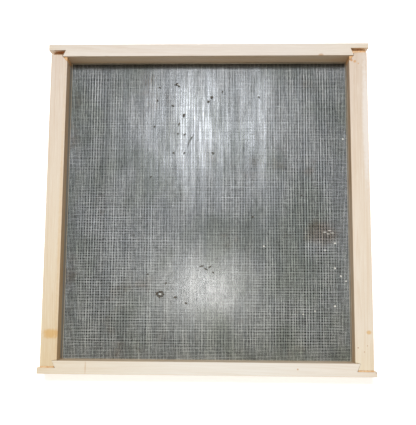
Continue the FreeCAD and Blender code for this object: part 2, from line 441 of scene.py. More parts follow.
def wood(name, along, tones, heart, pith, ring_width, seed, stains=(), knots=(), rough_sawn=0.0, inner=None,
         dust=0.0, pale_line=0.0, propolis_and_shade_tone=(206, 178, 142), bleach=None):
    """Bare pine: growth rings about a pith line, fibres along the grain, and marks at given places.

    tones are (place along the grain in mm, colour); heart is the darker colour of the late wood; inner is
    where the face towards the opening lies.
    """
    s = Shader(name, specular=0.25)
    stretch, soft = [1.0, 1.0, 1.0], [1.0, 1.0, 1.0]
    stretch[along], soft[along] = 0.03, 0.12
    offset = (seed * 31.0, seed * 17.0, seed * 7.0)
    grain = s.vector("ADD", s.vector("MULTIPLY", s.place, tuple(stretch)), offset)
    slow = s.vector("ADD", s.vector("MULTIPLY", s.place, tuple(soft)), offset)
    fibre = s.noise(grain, 1.9, 4.0, 0.65)
    late = growth_rings(s, grain, along, pith, ring_width, offset)
    colour = clear_pine(s, slow, grain, fibre, late, along, tones, heart)
    colour = marked(s, colour, bleach, stains, knots)
    if inner is not None:
        colour = propolis_and_shade_inner_face(s, colour, slow, along, inner, propolis_and_shade_tone, dust, pale_line)

    # Handled arrises: a little yellower and smoother than the faces.
    worn = s.add("ShaderNodeAttribute", attribute_name="arris").outputs["Fac"]
    wear = s.math("MULTIPLY", worn, s.spread(s.noise(slow, 0.25, 3.0), 0.35, 0.65, 0.1, 0.5))
    colour = s.mix(wear, colour, srgb(244, 222, 178), "MULTIPLY")

    roughness = s.math("ADD", s.spread(fibre, 0.3, 0.75, 0.58, 0.78), s.math("MULTIPLY", wear, -0.12))
    height = s.math("ADD", s.math("MULTIPLY", fibre, 0.6), s.math("MULTIPLY", late, -0.35))
    if rough_sawn:
        teeth = [1.0, 1.0, 1.0]
        teeth[along] = 6.0
        kerf = s.noise(s.vector("MULTIPLY", s.place, tuple(teeth)), 0.12, 2.0)
        height = s.math("ADD", height, s.math("MULTIPLY", kerf, rough_sawn))
    return s.finish(colour, roughness, height, 0.16, 0.55)


def gauze_material():
    """Dull galvanised wire: each wire has its own tone, with rust and zinc bloom in clouds, and a painted
    shadow along the top rail.
    """
    s = Shader("galvanised_gauze", metallic=0.12, specular=0.3)
    tone = s.add("ShaderNodeAttribute", attribute_name="tone").outputs["Fac"]
    spangle = s.noise(s.place, 0.9, 3.0, 0.6)
    colour = s.mix(spangle, srgb(208, 212, 214), srgb(240, 244, 246))
    green = s.spread(s.noise(s.place, 0.011, 3.0, 0.55), 0.42, 0.66)
    colour = s.mix(s.math("MULTIPLY", green, 0.5), colour, srgb(188, 196, 176), "MULTIPLY")
    rust_cloud = s.noise(s.vector("ADD", s.place, (300.0, 90.0, 0.0)), 0.016, 4.0, 0.65)
    rust = s.spread(rust_cloud, 0.55, 0.75)
    rust = s.math("MAXIMUM", rust, s.patch((166.0, -37.0, 9.0), (34.0, 24.0, 40.0), 0.5, 0.05))
    rust = s.math("MULTIPLY", rust, s.spread(spangle, 0.3, 0.65, 0.2, 0.75))
    colour = s.mix(rust, colour, srgb(176, 140, 104), "MULTIPLY")
    colour = s.mix(1.0, colour, tone, "MULTIPLY")
    # Long streaks along the warp, bluish towards the top rail and earthy towards the bottom one.
    streak = s.noise(s.vector("MULTIPLY", s.place, (1.0, 0.2, 1.0)), 0.075, 3.0, 0.7)
    colour = s.mix(s.spread(streak, 0.36, 0.62, 0.4, 0.0), colour, srgb(168, 176, 184), "MULTIPLY")
    earthy = s.spread(s.axis(1), -40.0, -215.0, 0.0, 0.5, smooth=False)
    colour = s.mix(earthy, colour, srgb(242, 240, 222), "MULTIPLY")
    # Painted shadow: the gauze is darkened along the foot of the top rail, where the rail's shadow falls.
    foot = s.math("ADD", s.axis(1), s.math("MULTIPLY", s.noise(s.place, 0.08, 3.0), 5.0))
    painted_shade = s.spread(foot, INNER_TOP - 9.5, INNER_TOP - 5.0, 0.0, 0.75)
    colour = s.mix(painted_shade, colour, srgb(112, 106, 92), "MULTIPLY")
    roughness = s.spread(spangle, 0.3, 0.7, 0.5, 0.68)
    return s.finish(colour, roughness, spangle, 0.05, 0.5)


def steel_material(name, bright, stain):
    s = Shader(name, metallic=1.0)
    scratch = s.noise(s.vector("MULTIPLY", s.place, (1.0, 1.0, 6.0)), 1.6, 4.0, 0.65)
    blot = s.spread(s.noise(s.place, 0.7, 3.0), 0.5, 0.72)
    colour = s.mix(scratch, srgb(*bright), srgb(216, 216, 214))
    colour = s.mix(s.math("MULTIPLY", blot, 0.7), colour, srgb(*stain), "MULTIPLY")
    return s.finish(colour, s.spread(scratch, 0.3, 0.7, 0.25, 0.5), scratch, 0.05, 0.4)


def blot_material(name, dark, light, roughness):
    s = Shader(name, specular=0.4)
    lumps = s.noise(s.place, 1.3, 4.0, 0.6)
    colour = s.mix(s.spread(lumps, 0.35, 0.65), srgb(*dark), srgb(*light))
    return s.finish(colour, s.spread(lumps, 0.3, 0.7, roughness, roughness + 0.2), lumps, 0.3, 0.6)


# ---------------------------------------------------------------- timber


def cross_rail_outline(left_end, right_end, outer, inward, width):
    """inward is the sign of the way to the opening."""
    inner = outer + inward * width
    return [
        (left_end, outer),
        (right_end, outer),
        (right_end, outer + inward * LIP_RIGHT),
        (INNER_RIGHT + NOTCH_ROOT, outer + inward * LIP_RIGHT),
        (INNER_RIGHT + TOOTH_REACH, inner),
        (INNER_LEFT - TOOTH_REACH, inner),
        (INNER_LEFT - NOTCH_ROOT, outer + inward * LIP_LEFT),
        (left_end, outer + inward * LIP_LEFT),
    ]


def side_rail_outline(outer, inner, outward, low_end, high_end):
    return [
        (outer, low_end),
        (inner + outward * TIP_INSET_BOTTOM, low_end),
        (inner + outward * NECK_INSET, INNER_BOTTOM),
        (inner, INNER_BOTTOM + SHOULDER_BOTTOM),
        (inner, INNER_TOP - SHOULDER_TOP),
        (inner + outward * NECK_INSET, INNER_TOP),
        (inner + outward * TIP_INSET_TOP, high_end),
        (outer, high_end),
    ]


def rectangle(low, high):
    return [(low.x, low.y), (high.x, low.y), (high.x, high.y), (low.x, high.y)]


# Joint stains are partly glue and propolis and partly painted shade in the joints' gaps and at the top
# shoulders.
JOINT_TONE = (206, 138, 84)
JOINT_MIDDLE = (RAIL_BASE + RAIL_TOP) / 2 - 1.0
TOP_REACH, BOTTOM_REACH, SHOULDER_REACH = (15.0, 5.0, 14.5), (15.0, 4.0, 14.5), (7.0, 6.0, 14.5)


def joint_stain_and_shade(x, y, reach=TOP_REACH, strength=0.9):
    """The orange around a joint: glue and propolis soaked in, and painted shade of the joint's gap and
    recess.
    """
    return ((x, y, JOINT_MIDDLE), reach, JOINT_TONE, strength)


def rail(side, along, outline, seed, dents=()):
    return timber(
        f"{side}_rail_wood", "rail_pine", f"{side}_rail", outline, RAIL_BASE, RAIL_TOP,
        along, RAIL_EASE, RAIL_JOINT_EASE, RAIL_WANDER, seed, dents,
    )


def make_top_rail():
    top = rail(
        "top", 0,
        cross_rail_outline(TOP_LOW.x, TOP_HIGH.x, OUTER_TOP, -1, TOP_HIGH.y - TOP_LOW.y), 1,
        dents=[((-185.0, INNER_TOP, RAIL_TOP), 3.5, 0.9), ((-148.0, INNER_TOP, RAIL_TOP), 3.0, 0.8)],
    )
    top.data.materials.append(wood(
        "pine_top", 0,
        [(-234, (224, 215, 203)), (-60, (228, 220, 211)), (110, (227, 219, 210)), (234, (225, 214, 199))],
        (226, 208, 188), (0.0, 196.0, -44.0), 2.3, 1,
        stains=[
            joint_stain_and_shade(-218.0, OUTER_TOP - LIP_LEFT), joint_stain_and_shade(218.0, OUTER_TOP - LIP_RIGHT),
            ((164.0, 219.5, RAIL_TOP), (5.0, 2.5, 4.0), (216, 176, 130), 0.6),
        ],
        inner=INNER_TOP, propolis_and_shade_tone=(240, 218, 186),
    ))


def make_bottom_rail():
    bottom = rail(
        "bottom", 0,
        cross_rail_outline(BOTTOM_LOW.x, BOTTOM_HIGH.x, OUTER_BOTTOM, 1, BOTTOM_HIGH.y - BOTTOM_LOW.y), 2,
        dents=[((BOTTOM_HIGH.x, OUTER_BOTTOM + 6.5, RAIL_TOP), 4.0, 1.6)],
    )
    bottom.data.materials.append(wood(
        "pine_bottom", 0,
        [(-234, (233, 220, 197)), (-40, (240, 234, 223)), (80, (240, 235, 225)), (234, (237, 226, 211))],
        (230, 212, 190), (30.0, -268.0, -30.0), 2.6, 2,
        stains=[
            joint_stain_and_shade(-218.0, OUTER_BOTTOM + LIP_LEFT, BOTTOM_REACH, 0.7),
            joint_stain_and_shade(218.0, OUTER_BOTTOM + LIP_RIGHT, BOTTOM_REACH, 0.7),
            ((-166.5, -228.0, RAIL_TOP), (1.2, 12.0, 5.0), (222, 192, 154), 0.5),
        ],
        knots=[((125.9, -227.3, RAIL_TOP), 1.6, (206, 160, 112))],
        inner=INNER_BOTTOM, propolis_and_shade_tone=(222, 200, 172),
    ))


def make_left_rail():
    left = rail("left", 1, side_rail_outline(OUTER_LEFT, INNER_LEFT, -1, LEFT_LOW.y, LEFT_HIGH.y), 3)
    left.data.materials.append(wood(
        "pine_left", 1,
        [(-228, (229, 210, 174)), (-150, (231, 215, 186)), (0, (230, 216, 195)), (221, (219, 205, 191))],
        (228, 200, 168), (-268.0, 0.0, -20.0), 2.9, 3,
        stains=[
            ((-216.0, -182.0, RAIL_TOP), (17.0, 9.0, 12.0), (246, 214, 150), 0.7),
            ((-209.0, 0.0, 34.0), (3.2, 400.0, 9.0), (246, 224, 184), 0.4),
            # The top shoulder's stain paints the shade of the joint's recess, with some propolis.
            joint_stain_and_shade(-218.0, LEFT_HIGH.y), joint_stain_and_shade(-209.0, INNER_TOP - 4.0, SHOULDER_REACH),
            joint_stain_and_shade(-218.0, LEFT_LOW.y, BOTTOM_REACH, 0.7),
        ],
        inner=INNER_LEFT, dust=19.0,
    ))


def make_right_rail():
    right = rail(
        "right", 1,
        side_rail_outline(OUTER_RIGHT, INNER_RIGHT, 1, RIGHT_LOW.y, RIGHT_HIGH.y), 4,
        dents=[((207.5, 214.0, RAIL_TOP), 2.6, 1.2), ((211.5, 210.0, RAIL_TOP), 2.2, 0.8)],
    )
    right.data.materials.append(wood(
        "pine_right", 1,
        [(-228, (237, 223, 197)), (-170, (236, 224, 206)), (-40, (234, 221, 203)), (223, (220, 205, 190))],
        (228, 204, 172), (262.0, 0.0, -36.0), 2.4, 4,
        stains=[
            ((224.0, -177.0, RAIL_TOP), (5.0, 4.0, 5.0), (242, 206, 140), 0.7),
            # The top shoulder's stain paints the shade of the joint's recess, with some propolis.
            joint_stain_and_shade(218.0, RIGHT_HIGH.y), joint_stain_and_shade(207.0, INNER_TOP - 4.0, SHOULDER_REACH),
            joint_stain_and_shade(218.0, RIGHT_LOW.y, BOTTOM_REACH, 0.7),
        ],
        knots=[
            ((207.6, 211.6, RAIL_TOP), 2.8, (200, 146, 94)),
            ((212.4, 209.6, RAIL_TOP), 2.8, (210, 162, 112)),
            ((217.5, 206.4, RAIL_TOP), 1.5, (212, 170, 124)),
            ((208.6, -197.5, RAIL_TOP), 1.2, (178, 122, 76)),
            ((217.0, -203.0, RAIL_TOP), 1.0, (188, 138, 92)),
            ((221.3, -194.8, RAIL_TOP), 1.0, (190, 142, 98)),
        ],
        bleach=((226.5, 120.0, RAIL_TOP), (6.5, 130.0, 40.0), (238, 232, 226), 0.7),
        inner=INNER_RIGHT, dust=13.5, pale_line=16.5,
    ))


def make_slats():
    for seed, side in enumerate(("left", "right", "top", "bottom"), start=11):
        node = f"slat_{side}"
        low, high = node_box(node)
        along = 0 if side in ("top", "bottom") else 1
        piece = timber(
            f"{node}_wood", "slat_pine", node, rectangle(low, high), low.z, high.z,
            along, SLAT_EASE, SLAT_JOINT_EASE, SLAT_WANDER, seed,
        )
        tones = [(low[along], (216, 196, 160)), (high[along], (222, 203, 170))]
        pith = [low.x + 9.0, low.y + 9.0, -30.0]
        piece.data.materials.append(wood(
            f"pine_{node}", along, tones, (208, 168, 122), tuple(pith), 2.8, seed, rough_sawn=0.9
        ))


def glue_bead(name, low, high, seed):
    """Dried glue that fills a joint: a block with a lumpy, slightly sunken top."""
    outline = rectangle(Vector((low[0], low[1], 0)), Vector((high[0], high[1], 0)))
    bm = eased_prism(outline, low[2], high[2], 0, 0.2, 0.2)
    slice_up(bm, 0, np.arange(low[0] + 0.8, high[0], 0.8))
    slice_up(bm, 1, np.arange(low[1] + 0.5, high[1], 0.5))
    bm.normal_update()
    for v in bm.verts:
        if v.normal.z > 0.5:
            v.co.z -= 0.5 + 0.7 * noise.noise(v.co / 2.3 + Vector((seed, 0, 0)))
        v.co *= MM
    return add_object(name, smooth_mesh(name, bm), "rail_pine")


def glue_material():
    s = Shader("dried_glue", specular=0.45)
    cloudy = s.noise(s.place, 0.35, 3.0, 0.6)
    colour = s.mix(s.spread(cloudy, 0.35, 0.65), srgb(224, 176, 122), srgb(240, 206, 160))
    return s.finish(colour, s.spread(cloudy, 0.3, 0.7, 0.35, 0.6), cloudy, 0.3, 0.4)


def make_fillet(name, corners, top, material):
    """Propolis in the wedge between a side rail's shoulder and the cross rail."""
    bm = eased_prism(corners, RAIL_BASE + 0.5, top, 1, 0.15, 0.15)
    slice_up(bm, 0, np.arange(min(c[0] for c in corners) + 0.6, max(c[0] for c in corners), 0.8))
    slice_up(bm, 2, np.arange(RAIL_BASE + 3.0, top, 2.5))
    bm.normal_update()
    for v in bm.verts:
        v.co -= v.normal * (0.12 + 0.2 * noise.noise(v.co / 2.5))
        v.co *= MM
    add_object(name, smooth_mesh(name, bm), "rail_pine").data.materials.append(material)


def make_shoulders():
    # The top fillets' deeper orange is propolis with painted shade of the top joints' recess; the bottom
    # ones are pale.
    orange = blot_material("propolis_and_shade_orange", (206, 158, 106), (232, 192, 142), 0.45)
    pale = blot_material("propolis_pale", (222, 196, 156), (236, 216, 180), 0.5)
    for side, inner in ((-1, INNER_LEFT), (1, INNER_RIGHT)):
        name = "left" if side < 0 else "right"
        neck = inner + side * NECK_INSET
        make_fillet(f"shoulder_top_{name}", [
            (inner + side * 0.5, INNER_TOP - 0.2), (inner + side * 0.5, INNER_TOP - SHOULDER_TOP + 0.8),
            (neck, INNER_TOP - 0.2),
        ], RAIL_TOP - 2.2, orange)
        make_fillet(f"shoulder_bottom_{name}", [
            (inner + side * 0.3, INNER_BOTTOM + 0.1), (inner + side * 0.3, INNER_BOTTOM + SHOULDER_BOTTOM),
            (neck, INNER_BOTTOM + 0.1),
        ], RAIL_TOP - 0.5, pale)


def make_glue():
    """The bottom joints are filled to just under the rails' faces, and the top ones past halfway."""
    glue = glue_material()
    for side, near, far, lip, tongue_low, tongue_high, filled in (
        (-1, OUTER_LEFT, INNER_LEFT - TIP_INSET_BOTTOM, LIP_LEFT, LEFT_LOW.y, LEFT_HIGH.y, GLUE_TOP_LEFT),
        (
            1, INNER_RIGHT + TIP_INSET_BOTTOM, OUTER_RIGHT, LIP_RIGHT, RIGHT_LOW.y, RIGHT_HIGH.y,
            GLUE_TOP_RIGHT,
        ),
    ):
        name = "left" if side < 0 else "right"
        low = (near + 0.3, OUTER_BOTTOM + lip, RAIL_BASE + 1.0)
        high = (far - 0.4, tongue_low, RAIL_TOP - 0.35)
        glue_bead(f"glue_bottom_{name}", low, high, 5.0 + side).data.materials.append(glue)
        low = (near + 0.5, tongue_high, RAIL_BASE + 1.0)
        high = (far - 1.0, OUTER_TOP - lip, RAIL_BASE + filled)
        glue_bead(f"glue_top_{name}", low, high, 9.0 + side).data.materials.append(glue)


# ---------------------------------------------------------------- fasteners


def nail(start, direction):
    """A round wire nail: domed head, grip rings below it, and a cut point."""
    rings = [(0.02, 0.5), (0.06, 1.0), (0.2, 1.5), (0.45, 1.78), (0.7, 1.8), (0.88, 1.66), (0.95, 0.95)]
    for ring in range(5):
        at = 1.6 + ring * 0.9
        rings += [(at, 0.9), (at + 0.25, 0.8), (at + 0.5, 0.9)]
    return lathe([*rings, (39.0, 0.9), (41.0, 0.5), (41.9, 0.12)], start, direction)


def brad(start, direction):
    rings = [(0.0, 0.35), (0.05, 0.8), (0.18, 1.15), (0.38, 1.3), (0.55, 1.2), (0.66, 0.62)]
    return lathe([*rings, (20.4, 0.6), (21.5, 0.3), (21.95, 0.08)], start, direction, 14)


def make_fasteners():
    steel = steel_material("nail_steel", (150, 150, 150), (150, 116, 84))
    for node, side, end in (
        ("nails_top_left", -1, 1), ("nails_top_right", 1, 1),
        ("nails_bottom_left", -1, -1), ("nails_bottom_right", 1, -1),
    ):
        low, high = node_box(node)
        x, y = (low.x + high.x) / 2, high.y if end > 0 else low.y
        levels = [RAIL_BASE + share * (RAIL_TOP - RAIL_BASE) for share in NAIL_LEVELS]
        parts = [nail((x, y, z), (0, -end, 0)) for z in levels]
        piece = add_object(f"{node}_steel", joined_mesh(node, parts), "bright_steel", node)
        piece.data.materials.append(steel)
    for node in ("brads_left", "brads_right", "brads_top", "brads_bottom"):
        low, high = node_box(node)
        along = 0 if high.x - low.x > high.y - low.y else 1
        head = min(high.x - low.x, high.y - low.y) / 2
        middle = (low + high) / 2
        parts = []
        for place in np.linspace(low[along] + head, high[along] - head, BRADS_PER_SLAT):
            start = [middle.x, middle.y, 0.0]
            start[along] = place
            parts.append(brad(start, (0, 0, 1)))
        piece = add_object(f"{node}_steel", joined_mesh(node, parts), "bright_steel", node)
        piece.data.materials.append(steel)


# ---------------------------------------------------------------- gauze

GAUZE_MIDDLE = (SLAT_TOP + RAIL_BASE) / 2
GAUZE_TOP = node_box("gauze_weft")[1].z
WARP_END = node_box("gauze_warp")[1].y
WEFT_END = node_box("gauze_weft")[1].x
WIRE_RADIUS, WIRE_PITCH = 0.25, 2.0
WIRE_SIDES, STEPS_PER_PITCH = 5, 2
WEAVE_SEED, BANDS_EACH_WAY = 614, 6
# The gauze lies flat near the opening's edge, and its straying grows over the second length from there.
CLAMPED_EDGE, FADE_LENGTH = 2.0, 26.0
# Warp wires that lie out of line, by number, and by how much.
SHIFTED_WARP = {57: 0.75, 69: -0.7, 70: 0.4, 80: 0.75, 81: -0.35, -24: 0.7, -38: -0.6, 12: 0.55}


def fade(u, v):
    """1 over the opening, falling to 0 near the edge, where the gauze is clamped."""
    edge = np.minimum(
        np.minimum(u - INNER_LEFT, INNER_RIGHT - u),
        np.minimum(v - INNER_BOTTOM, INNER_TOP - v),
    )
    t = np.clip((edge - CLAMPED_EDGE) / FADE_LENGTH, 0.0, 1.0)
    return t * t * (3 - 2 * t)


def pulled(u, v):
    """Where a point of the flat, regular gauze ends up: drawn a little askew, and slightly hollow."""
    w = fade(u, v)
    dx = 0.55 * np.sin(u / 31.0 + 0.8) * np.sin(v / 74.0 + 0.3) + 0.3 * np.sin(u / 11.5 + v / 160.0)
    dy = 0.45 * np.sin(v / 27.0 + 1.9) * np.sin(u / 88.0) + 0.3 * np.sin(v / 9.7 + u / 190.0)
    dz = 0.45 * np.sin(u / 52.0 + 1.1) * np.sin(v / 61.0 + 0.4)
    return u + dx * w, v + dy * w, dz * w


def varied(rng, wires, along, step, amount):
    """Random values that change smoothly along each wire, at about the given step."""
    knots = np.arange(along[0] - step, along[-1] + 2 * step, step)
    values = rng.normal(0.0, amount, (wires, len(knots)))
    return np.stack([np.interp(along, knots, row) for row in values])


def wire_paths(vertical, numbers, rng):
    """Neighbouring wires' middle lines, their places along, and how far up the opening they are."""
    end = WARP_END if vertical else WEFT_END
    count = int(round(2 * end / WIRE_PITCH * STEPS_PER_PITCH)) + 1
    along = np.linspace(-end, end, count)[None, :]
    number = np.array(numbers)[:, None]
    place = WIRE_PITCH * (number + 0.5)
    # Reed marks: neighbouring wires lie in pairs, the warp's most at the top and the weft's at the bottom.
    height = (along if vertical else place) / INNER_TOP
    uneven, pairing = (0.2, 0.4 + 0.12 * height) if vertical else (0.1, 0.2 - 0.12 * height)
    shift = np.clip(rng.normal(0.0, uneven, (len(numbers), 1)), -0.4, 0.4)
    if vertical:
        shift += np.array([[SHIFTED_WARP.get(n, 0.0)] for n in numbers])
    pair = np.where(number % 2 == 0, 1.0, -1.0)
    shift = shift + pair * pairing * (0.8 + 0.2 * np.sin(along / 37.0 + number / 9.0))
    shift = shift + varied(rng, len(numbers), along[0], 22.0, 0.1)
    shift = shift + varied(rng, len(numbers), along[0], 9.0, 0.14 if vertical else 0.08)
    shift = np.clip(shift, -0.85, 0.85)
    over_first = pair if vertical else -pair
    weave = WIRE_RADIUS * over_first * np.cos(np.pi * (along / WIRE_PITCH - 0.5))
    u, v = (place + 0 * along, along + 0 * place) if vertical else (along + 0 * place, place + 0 * along)
    x, y, z = pulled(u, v)
    slack = shift * fade(u, v)
    x, y = (x + slack, y) if vertical else (x, y + slack)
    return np.stack([x, y, GAUZE_MIDDLE + z + weave], axis=-1), along[0], height


def tube_rings(path, vertical):
    """Rings of vertices about each point of the middle lines, square to them."""
    tangent = np.gradient(path, axis=1)
    tangent /= np.linalg.norm(tangent, axis=-1, keepdims=True)
    side = np.array([1.0, 0.0, 0.0] if vertical else [0.0, 1.0, 0.0])
    side = side - tangent * (tangent @ side)[..., None]
    side /= np.linalg.norm(side, axis=-1, keepdims=True)
    up = np.cross(tangent, side)
    angle = 2 * np.pi * (np.arange(WIRE_SIDES) + 0.25) / WIRE_SIDES
    return (
        path[:, :, None, :]
        + WIRE_RADIUS * np.cos(angle)[None, None, :, None] * side[:, :, None, :]
        + WIRE_RADIUS * np.sin(angle)[None, None, :, None] * up[:, :, None, :]
    )


def tube_mesh(name, rings):
    """Closed tubes from rings of vertices, ordered by wire, then along it, then around it."""
    wires, count, sides = rings.shape[:3]
    index = np.arange(wires * count * sides).reshape(wires, count, sides)
    turned = np.roll(index, -1, axis=2)
    quads = np.stack([index[:, :-1], turned[:, :-1], turned[:, 1:], index[:, 1:]], axis=-1).reshape(-1, 4)
    caps = np.concatenate([index[:, 0, ::-1], index[:, -1, :]])
    loops = np.concatenate([quads.ravel(), caps.ravel()])
    starts = np.concatenate(
        [np.arange(len(quads)) * 4, len(quads) * 4 + np.arange(len(caps)) * sides]
    )
    mesh = bpy.data.meshes.new(name)
    mesh.vertices.add(wires * count * sides)
    mesh.vertices.foreach_set("co", (rings.reshape(-1) * MM).astype(np.float32))
    mesh.loops.add(len(loops))
    mesh.loops.foreach_set("vertex_index", loops.astype(np.int32))
    mesh.polygons.add(len(starts))
    mesh.polygons.foreach_set("loop_start", starts.astype(np.int32))
    mesh.update(calc_edges=True)
    mesh.validate()
    mesh.shade_smooth()
    return mesh


def tone_wires(mesh, vertical, wires, along, height, rng):
    """How light each wire is, here and there: the warp is lighter than the weft, and most so at the top."""
    mean, own, patchy = (1.06 + 0.13 * height, 0.14, 0.22) if vertical else (0.86 - 0.1 * height, 0.04, 0.15)
    tone = mean + rng.normal(0.0, own, (wires, 1))
    tone = tone + varied(rng, wires, along, 4.0, patchy) + varied(rng, wires, along, 45.0, 0.08)
    tone = np.repeat(np.clip(tone, 0.25, 1.45)[:, :, None], WIRE_SIDES, axis=2)
    layer = mesh.attributes.new("tone", "FLOAT", "POINT")
    layer.data.foreach_set("value", tone.reshape(-1).astype(np.float32))


def gauze_wires(name, node, vertical, numbers, rng, material):
    """One band of neighbouring wires as a single mesh of round tubes, woven over and under."""
    path, along, height = wire_paths(vertical, numbers, rng)
    mesh = tube_mesh(name, tube_rings(path, vertical))
    tone_wires(mesh, vertical, len(numbers), along, height, rng)
    add_object(name, mesh, "gauze_wire", node).data.materials.append(material)


def make_gauze():
    rng = np.random.default_rng(WEAVE_SEED)
    material = gauze_material()
    for vertical, node, half in ((True, "gauze_warp", WEFT_END), (False, "gauze_weft", WARP_END)):
        pairs = int((half - WIRE_RADIUS) / WIRE_PITCH + 0.5)
        groups = np.array_split(np.arange(-pairs, pairs), BANDS_EACH_WAY)
        for band, numbers in enumerate(groups, start=1):
            gauze_wires(f"{node}_{band}", node, vertical, [int(n) for n in numbers], rng, material)


def blob(centre, radii, seed, angle=0.0):
    """A lump of wax or dirt on the wires: an uneven flattened ball, as vertices and faces."""
    bm = bmesh.new()
    bmesh.ops.create_icosphere(bm, subdivisions=3, radius=1.0)
    turn = Matrix.Rotation(angle, 3, "Z")
    for v in bm.verts:
        swell = 1 + 0.35 * noise.noise(v.co * 1.4 + Vector((seed, 0, 0)))
        local = Vector((v.co.x * radii[0], v.co.y * radii[1], v.co.z * radii[2])) * swell
        v.co = turn @ local + Vector(centre)
    bm.verts.index_update()
    result = ([v.co.copy() for v in bm.verts], [tuple(v.index for v in f.verts) for f in bm.faces])
    bm.free()
    return result


def ring_of_blobs(centre, radii, count, seed):
    parts = []
    for k in range(count):
        angle = 2 * math.pi * k / count
        spot = (centre[0] + radii[0] * math.cos(angle), centre[1] + radii[1] * math.sin(angle), centre[2])
        size = 1.5 + 0.5 * math.sin(seed + 2.1 * k)
        parts.append(blob(spot, (size, size * 0.8, 0.8), seed + k, angle))
    return parts


def make_specks():
    level = GAUZE_TOP + 0.1
    dark = ring_of_blobs((-67.6, -126.5, level + 0.2), (4.6, 3.4), 11, 3.0)
    for seed, (x, y, rx, ry, angle) in enumerate((
        (-45.9, -130.9, 2.2, 1.3, 0.4), (-30.0, -139.2, 2.0, 1.2, -0.3), (-59.2, -110.9, 1.8, 1.2, 0.9),
        (-48.0, 186.0, 3.2, 0.8, 0.5), (-44.5, 183.4, 3.0, 0.8, -0.5), (-36.1, 138.1, 2.4, 1.4, 1.1),
        (5.4, 165.7, 2.2, 1.5, 0.1), (-8.0, -86.0, 3.4, 0.9, 0.2), (-2.0, -90.0, 3.0, 0.8, -0.5),
        (4.0, -87.0, 2.6, 0.8, 0.6),
        # Small dark specks and hairs, most of them towards the top rail.
        (0.0, 159.0, 2.4, 1.0, 0.3), (-43.0, 125.0, 2.2, 0.9, 1.0), (-35.0, 109.0, 2.6, 0.8, 0.6),
        (7.0, 81.0, 2.2, 1.0, -0.4), (-45.0, 110.0, 1.6, 0.9, 0.2), (21.0, 174.0, 1.9, 0.8, 1.2),
        (-51.0, 81.0, 1.7, 0.9, 0.0), (-35.0, 81.0, 2.0, 0.8, 0.7), (-73.0, 181.0, 1.8, 0.8, -0.2),
        (75.0, 166.0, 1.7, 0.9, 0.5), (-76.0, 161.0, 1.9, 0.7, 0.9), (-53.0, 153.0, 1.8, 0.9, 0.1),
        (-80.0, 121.0, 1.6, 0.8, 0.6), (66.0, -14.0, 1.9, 1.0, 0.3), (9.0, -95.0, 2.0, 0.9, -0.6),
        (137.0, 18.0, 1.6, 0.8, 0.4), (-84.0, 45.0, 1.5, 0.8, 1.1), (-86.0, -98.0, 1.7, 0.8, 0.2),
        (-45.0, -131.0, 2.1, 0.7, -0.5), (-25.0, 103.0, 5.5, 0.5, 0.95), (-29.0, 95.0, 4.5, 0.5, 1.25),
    ), start=20):
        dark.append(blob((x, y, level), (rx, ry, 0.6), seed, angle))
    piece = add_object("gauze_dirt", joined_mesh("gauze_dirt", dark), "gauze_wire")
    piece.data.materials.append(blot_material("dirt", (60, 57, 52), (98, 90, 78), 0.6))

    pale = [blob((-67.2, -126.5, level + 0.1), (1.3, 1.0, 0.5), 60)]
    for seed, (x, y, size) in enumerate((
        (183.6, -87.9, 1.5), (191.9, -99.3, 1.5), (198.9, -106.4, 1.3), (182.6, -142.0, 1.6),
        (154.2, -149.2, 1.2), (137.1, -153.6, 1.1), (82.0, -56.8, 1.3), (184.2, -52.0, 1.5),
        (169.7, -62.2, 1.2), (198.6, 101.5, 1.3), (-45.6, 184.9, 1.1),
    ), start=70):
        pale.append(blob((x, y, level), (size, size * 0.8, 0.5), seed, seed * 0.7))
    for seed, (x, y) in enumerate(((170.0, -36.0), (174.5, -38.5), (180.5, -37.0), (177.0, -33.5)), 90):
        pale.append(blob((x, y, level), (2.6, 0.5, 0.35), seed))
    piece = add_object("gauze_wax", joined_mesh("gauze_wax", pale), "gauze_wire")
    piece.data.materials.append(blot_material("wax", (226, 224, 214), (250, 249, 244), 0.35))


# ---------------------------------------------------------------- surroundings


def plane(name, low_x, low_y, high_x, high_y, height, material):
    mesh = bpy.data.meshes.new(name)
    corners = [(low_x, low_y), (high_x, low_y), (high_x, high_y), (low_x, high_y)]
    mesh.from_pydata([(x * MM, y * MM, height * MM) for x, y in corners], [], [(0, 1, 2, 3)])
    mesh.materials.append(material)
    item = bpy.data.objects.new(name, mesh)
    bpy.context.scene.collection.objects.link(item)
    return item


# The card's specular level over its upper half: (share of the way from one side to the other, level).
CARD_BAND_SIDES = (-130.0, 140.0)
CARD_BANDS = (
    (0.0, 0.3), (0.14, 0.36), (0.2, 0.52), (0.26, 0.36), (0.33, 0.6), (0.42, 0.64), (0.5, 0.56),
    (0.56, 0.36), (0.68, 0.34), (0.77, 0.68), (0.84, 0.36), (1.0, 0.3),
)
CARD_LEVEL_BELOW = 0.5
CARD_INSET, CARD_DROP = 0.5, 1.6
FLOOR_REACH, FLOOR_LEVEL, FLOOR_GLOW = 20000, -0.1, 0.5


def floor_material():
    pale = Shader("floor_card", specular=0.1)
    pale.surface.inputs["Emission Color"].default_value = (1.0, 1.0, 1.0, 1.0)
    pale.surface.inputs["Emission Strength"].default_value = FLOOR_GLOW
    tint = pale.mix(pale.noise(pale.place, 0.004, 2.0), srgb(253, 253, 252), srgb(255, 255, 255))
    return pale.finish(tint, 0.9, pale.noise(pale.place, 0.6, 2.0), 0.02, 0.1)


